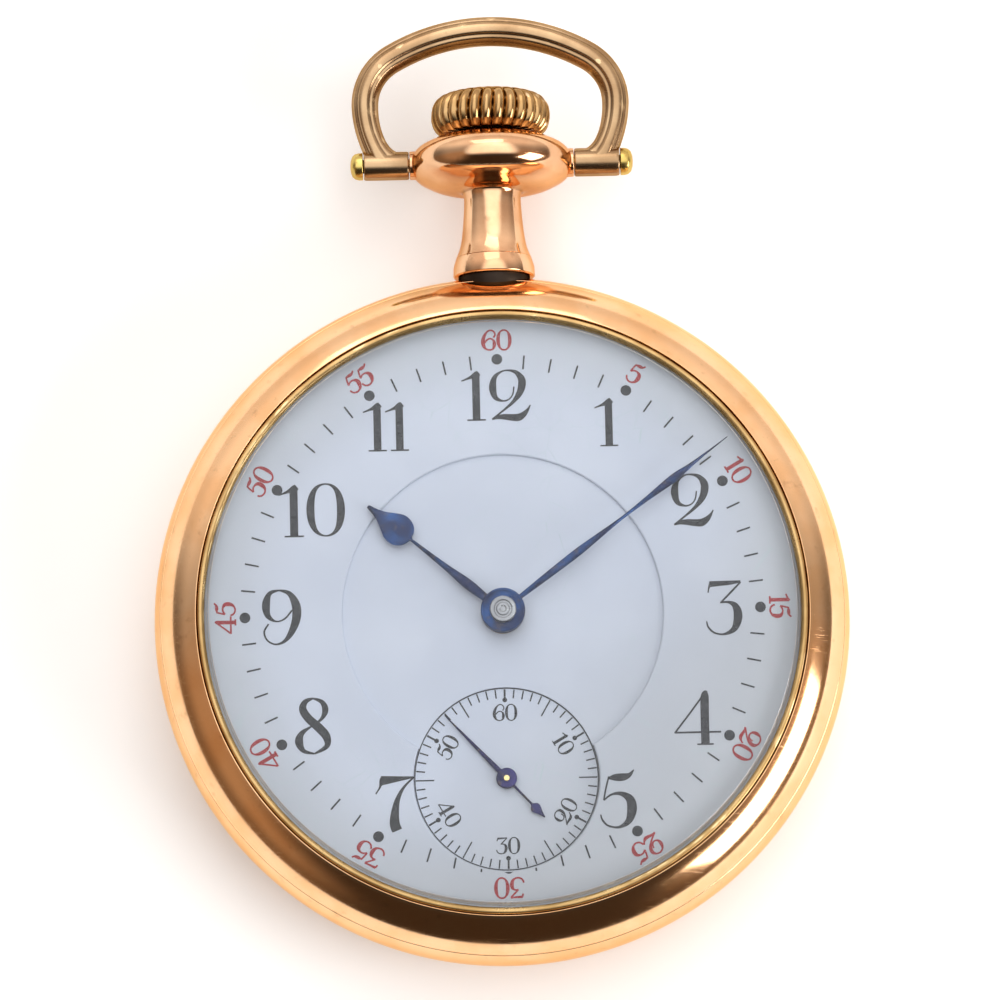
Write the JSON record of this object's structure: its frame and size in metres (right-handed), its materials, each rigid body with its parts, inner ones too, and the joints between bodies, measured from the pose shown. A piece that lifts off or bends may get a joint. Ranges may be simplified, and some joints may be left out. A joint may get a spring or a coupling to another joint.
{
  "type": "open face pocket watch",
  "caption": "Open face pocket watch in a rounded gold case, with an enamel dial, blued hands, a fluted crown and a swinging bow.",
  "frame": {"origin": "middle of the flat resting spot of the case back", "axes": "+Z out of the dial, +Y towards the pendant and twelve o'clock, +X towards three o'clock; the watch lies on its back"},
  "size_m": [0.0504, 0.07, 0.0131],
  "materials": {
    "rose_gold": "polished, rose tinted gold",
    "yellow_gold": "polished, yellow gold",
    "glass": "clear",
    "enamel": "glossy, bluish white",
    "blued_steel": "polished, blued",
    "steel": "polished",
    "nickel": "damascened nickel",
    "brass": "gilt",
    "ruby": "polished",
    "copper": "plain copper"
  },
  "bodies": {
    "back": {"case_back": "rose_gold"},
    "case": {"case_middle": "rose_gold", "pendant": "rose_gold", "pendant_sleeve": "steel", "bow_screws": "yellow_gold", "pillar_plate": "nickel", "barrel_bridge": "nickel", "train_bridge": "nickel", "balance_cock": "nickel", "pallet_bridge": "nickel", "bridge_screws": "blued_steel", "case_screws": "blued_steel", "plate_jewels": "ruby", "bridge_jewels": "ruby", "dial_ring": "enamel", "dial_centre": "enamel", "dial_seconds": "enamel", "dial_feet": "copper", "minute_post": "steel", "crown_wheel_post": "steel", "click_screw": "steel", "click_spring": "blued_steel", "hairspring": "blued_steel", "hairspring_stud": "steel"},
    "bezel": {"bezel": "rose_gold", "crystal": "glass"},
    "bow": {"bow": "rose_gold"},
    "winding_arbor": {"winding_pinion": "steel", "clutch_wheel": "steel"},
    "crown": {"crown": "rose_gold", "stem": "steel"},
    "crown_wheel": {"crown_wheel": "steel"},
    "ratchet": {"barrel_arbor": "steel", "ratchet_wheel": "steel", "ratchet_screw": "steel"},
    "click": {"click": "steel"},
    "barrel": {"barrel": "brass", "barrel_cover": "brass", "mainspring": "blued_steel"},
    "minute": {"centre_arbor": "steel", "centre_wheel": "brass", "cannon_pinion": "steel", "minute_hand": "blued_steel"},
    "minute_wheel": {"minute_wheel": "brass"},
    "hour": {"hour_wheel": "brass", "hour_hand": "blued_steel"},
    "third": {"third_arbor": "steel", "third_wheel": "brass"},
    "fourth": {"fourth_arbor": "steel", "fourth_wheel": "brass", "seconds_hand": "blued_steel"},
    "escape": {"escape_arbor": "steel", "escape_wheel": "steel"},
    "fork": {"pallet_fork": "steel", "pallet_stones": "ruby", "pallet_arbor": "steel"},
    "balance": {"balance_wheel": "brass", "balance_screws": "brass", "balance_staff": "steel"},
    "regulator": {"regulator": "steel"}
  },
  "joints": [
    {"name": "back_unscrew", "type": "slide", "parent": "back", "child": "case", "axis": [0, 0, 1], "range_m": [0, 0.015]},
    {"name": "bezel_unscrew", "type": "slide", "parent": "case", "child": "bezel", "axis": [0, 0, 1], "range_m": [0, 0.012]},
    {"name": "bow_swing", "type": "hinge", "parent": "case", "child": "bow", "pos_m": [0, 0.0338, 0.00624], "axis": [1, 0, 0], "range_deg": [-115, 115]},
    {"name": "crown_spin", "type": "hinge", "parent": "case", "child": "winding_arbor", "pos_m": [0, 0.0338, 0.00624], "axis": [0, 1, 0], "continuous": true},
    {"name": "crown_pull", "type": "slide", "parent": "winding_arbor", "child": "crown", "axis": [0, 1, 0], "range_m": [0, 0.0009]},
    {"name": "crown_wheel_turn", "type": "hinge", "parent": "case", "child": "crown_wheel", "pos_m": [0, 0.01243, 0.0017], "axis": [0, 0, 1], "continuous": true},
    {"name": "ratchet_turn", "type": "hinge", "parent": "case", "child": "ratchet", "pos_m": [-0.00857, 0.00495, 0.0017], "axis": [0, 0, 1], "continuous": true},
    {"name": "click_lift", "type": "hinge", "parent": "case", "child": "click", "pos_m": [-0.01208, 0.01247, 0.0017], "axis": [0, 0, 1], "range_deg": [0, 10]},
    {"name": "minute_turn", "type": "hinge", "parent": "case", "child": "minute", "pos_m": [0, 0, 0.0057], "axis": [0, 0, 1], "continuous": true},
    {"name": "barrel_turn", "type": "hinge", "parent": "case", "child": "barrel", "pos_m": [-0.00857, 0.00495, 0.0044], "axis": [0, 0, 1], "continuous": true},
    {"name": "minute_wheel_turn", "type": "hinge", "parent": "case", "child": "minute_wheel", "pos_m": [0, 0.0048, 0.008], "axis": [0, 0, 1], "continuous": true},
    {"name": "hour_turn", "type": "hinge", "parent": "case", "child": "hour", "pos_m": [0, 0, 0.0084], "axis": [0, 0, 1], "continuous": true},
    {"name": "third_turn", "type": "hinge", "parent": "case", "child": "third", "pos_m": [-0.00202, -0.00691, 0.0043], "axis": [0, 0, 1], "continuous": true},
    {"name": "fourth_turn", "type": "hinge", "parent": "case", "child": "fourth", "pos_m": [0, -0.01205, 0.0051], "axis": [0, 0, 1], "continuous": true},
    {"name": "escape_turn", "type": "hinge", "parent": "case", "child": "escape", "pos_m": [0.00489, -0.01337, 0.0037], "axis": [0, 0, 1], "continuous": true},
    {"name": "fork_tilt", "type": "hinge", "parent": "case", "child": "fork", "pos_m": [0.00758, -0.0102, 0.0037], "axis": [0, 0, 1], "range_deg": [-2, 2]},
    {"name": "balance_swing", "type": "hinge", "parent": "case", "child": "balance", "pos_m": [0.0103, -0.007, 0.0025], "axis": [0, 0, 1], "range_deg": [-115, 115]},
    {"name": "regulator_turn", "type": "hinge", "parent": "case", "child": "regulator", "pos_m": [0.0103, -0.007, 0.00105], "axis": [0, 0, 1], "range_deg": [-20, 20]}
  ],
  "couplings": [
    {"joint": "crown_wheel_turn", "follows": "crown_spin", "ratio": 0.75},
    {"joint": "ratchet_turn", "follows": "crown_spin", "ratio": -0.51389},
    {"joint": "barrel_turn", "follows": "minute_turn", "ratio": -0.15385},
    {"joint": "minute_wheel_turn", "follows": "minute_turn", "ratio": -0.33333},
    {"joint": "hour_turn", "follows": "minute_turn", "ratio": 0.083333},
    {"joint": "third_turn", "follows": "minute_turn", "ratio": -8},
    {"joint": "fourth_turn", "follows": "minute_turn", "ratio": 60},
    {"joint": "escape_turn", "follows": "minute_turn", "ratio": -600}
  ]
}
